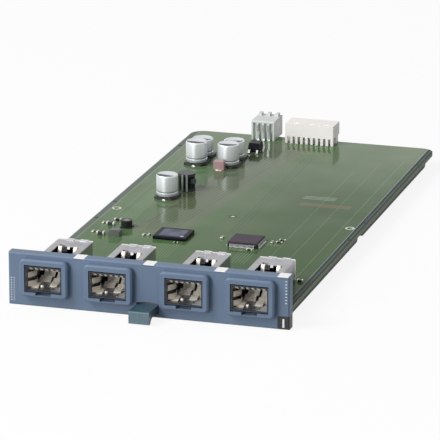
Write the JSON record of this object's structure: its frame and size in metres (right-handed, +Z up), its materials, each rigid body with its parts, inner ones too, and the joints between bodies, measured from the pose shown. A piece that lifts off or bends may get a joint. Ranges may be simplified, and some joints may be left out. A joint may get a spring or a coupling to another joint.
{
  "type": "switch line card",
  "caption": "Plug-in line card: narrow panel with a row of raised transceiver ports, a latch lever, and a long circuit board with chips, capacitors and rear connectors.",
  "frame": {"origin": "under the middle of the card, level with the lower edge of the front panel", "axes": "+X to the right along the panel, +Y from the panel into the card, +Z up"},
  "size_m": [0.1132, 0.2558, 0.0212],
  "materials": {
    "base_black": "black moulding",
    "block_pink": "pink moulding",
    "board": "glossy green solder mask on glass laminate",
    "cage_metal": "nickel plated sheet",
    "can_aluminium": "satin aluminium",
    "chip_black": "dark moulded package",
    "clip_metal": "bright spring steel",
    "collar_metal": "bright spring sheet",
    "component_tan": "fired ceramic",
    "contact_metal": "gold plated",
    "core_dark": "dark ferrite",
    "host_black": "black moulding",
    "lever_plastic": "satin dark teal",
    "panel_paint": "moulded panel in a fine matt blue-grey",
    "power_ivory": "ivory moulding",
    "runner_black": "matt black",
    "screw_zinc": "zinc plated",
    "signal_grey": "grey moulding",
    "spring_steel": "bright spring steel",
    "steel": "plain steel",
    "tag_black": "matt black",
    "tin": "tinned",
    "winding_copper": "lacquered copper wire"
  },
  "bodies": {
    "root": {"block_capacitor": "block_pink", "block_capacitor_leads": "tin", "capacitor_1_base": "base_black", "capacitor_1_can": "can_aluminium", "capacitor_2_base": "base_black", "capacitor_2_can": "can_aluminium", "capacitor_3_base": "base_black", "capacitor_3_can": "can_aluminium", "capacitor_4_base": "base_black", "capacitor_4_can": "can_aluminium", "capacitor_5_base": "base_black", "capacitor_5_can": "can_aluminium", "capacitor_leads": "tin", "chip_components": "component_tan", "choke_core": "core_dark", "choke_terminal": "tin", "choke_winding": "winding_copper", "circuit_board": "board", "control_chip": "chip_black", "control_chip_leads": "tin", "crystal": "steel", "drum_inductor": "core_dark", "front_panel": "panel_paint", "ground_clips": "clip_metal", "ground_collar_1": "collar_metal", "ground_collar_2": "collar_metal", "ground_collar_3": "collar_metal", "ground_collar_4": "collar_metal", "guide_runner_left_front": "runner_black", "guide_runner_left_rear": "runner_black", "guide_runner_right_front": "runner_black", "guide_runner_right_rear": "runner_black", "host_connector_1": "host_black", "host_connector_2": "host_black", "host_connector_3": "host_black", "host_connector_4": "host_black", "host_contacts": "contact_metal", "lever_pin": "steel", "lever_spring": "spring_steel", "panel_screws": "screw_zinc", "power_connector": "power_ivory", "power_connector_pins": "tin", "regulator_body": "chip_black", "regulator_metal": "tin", "signal_connector": "signal_grey", "signal_connector_contacts": "tin", "slot_tag": "tag_black", "switch_chip": "chip_black", "transceiver_cage_1": "cage_metal", "transceiver_cage_2": "cage_metal", "transceiver_cage_3": "cage_metal", "transceiver_cage_4": "cage_metal"},
    "lever": {"release_lever": "lever_plastic"}
  },
  "joints": [
    {"name": "release_lever_pivot", "type": "hinge", "parent": "root", "child": "lever", "pos_m": [0, -0.1094, 0.0033], "axis": [1, 0, 0], "range_deg": [0, 5], "stiffness_Nm_per_rad": 0.05, "springref_deg": -11.46, "deforming": ["lever_spring"]}
  ]
}
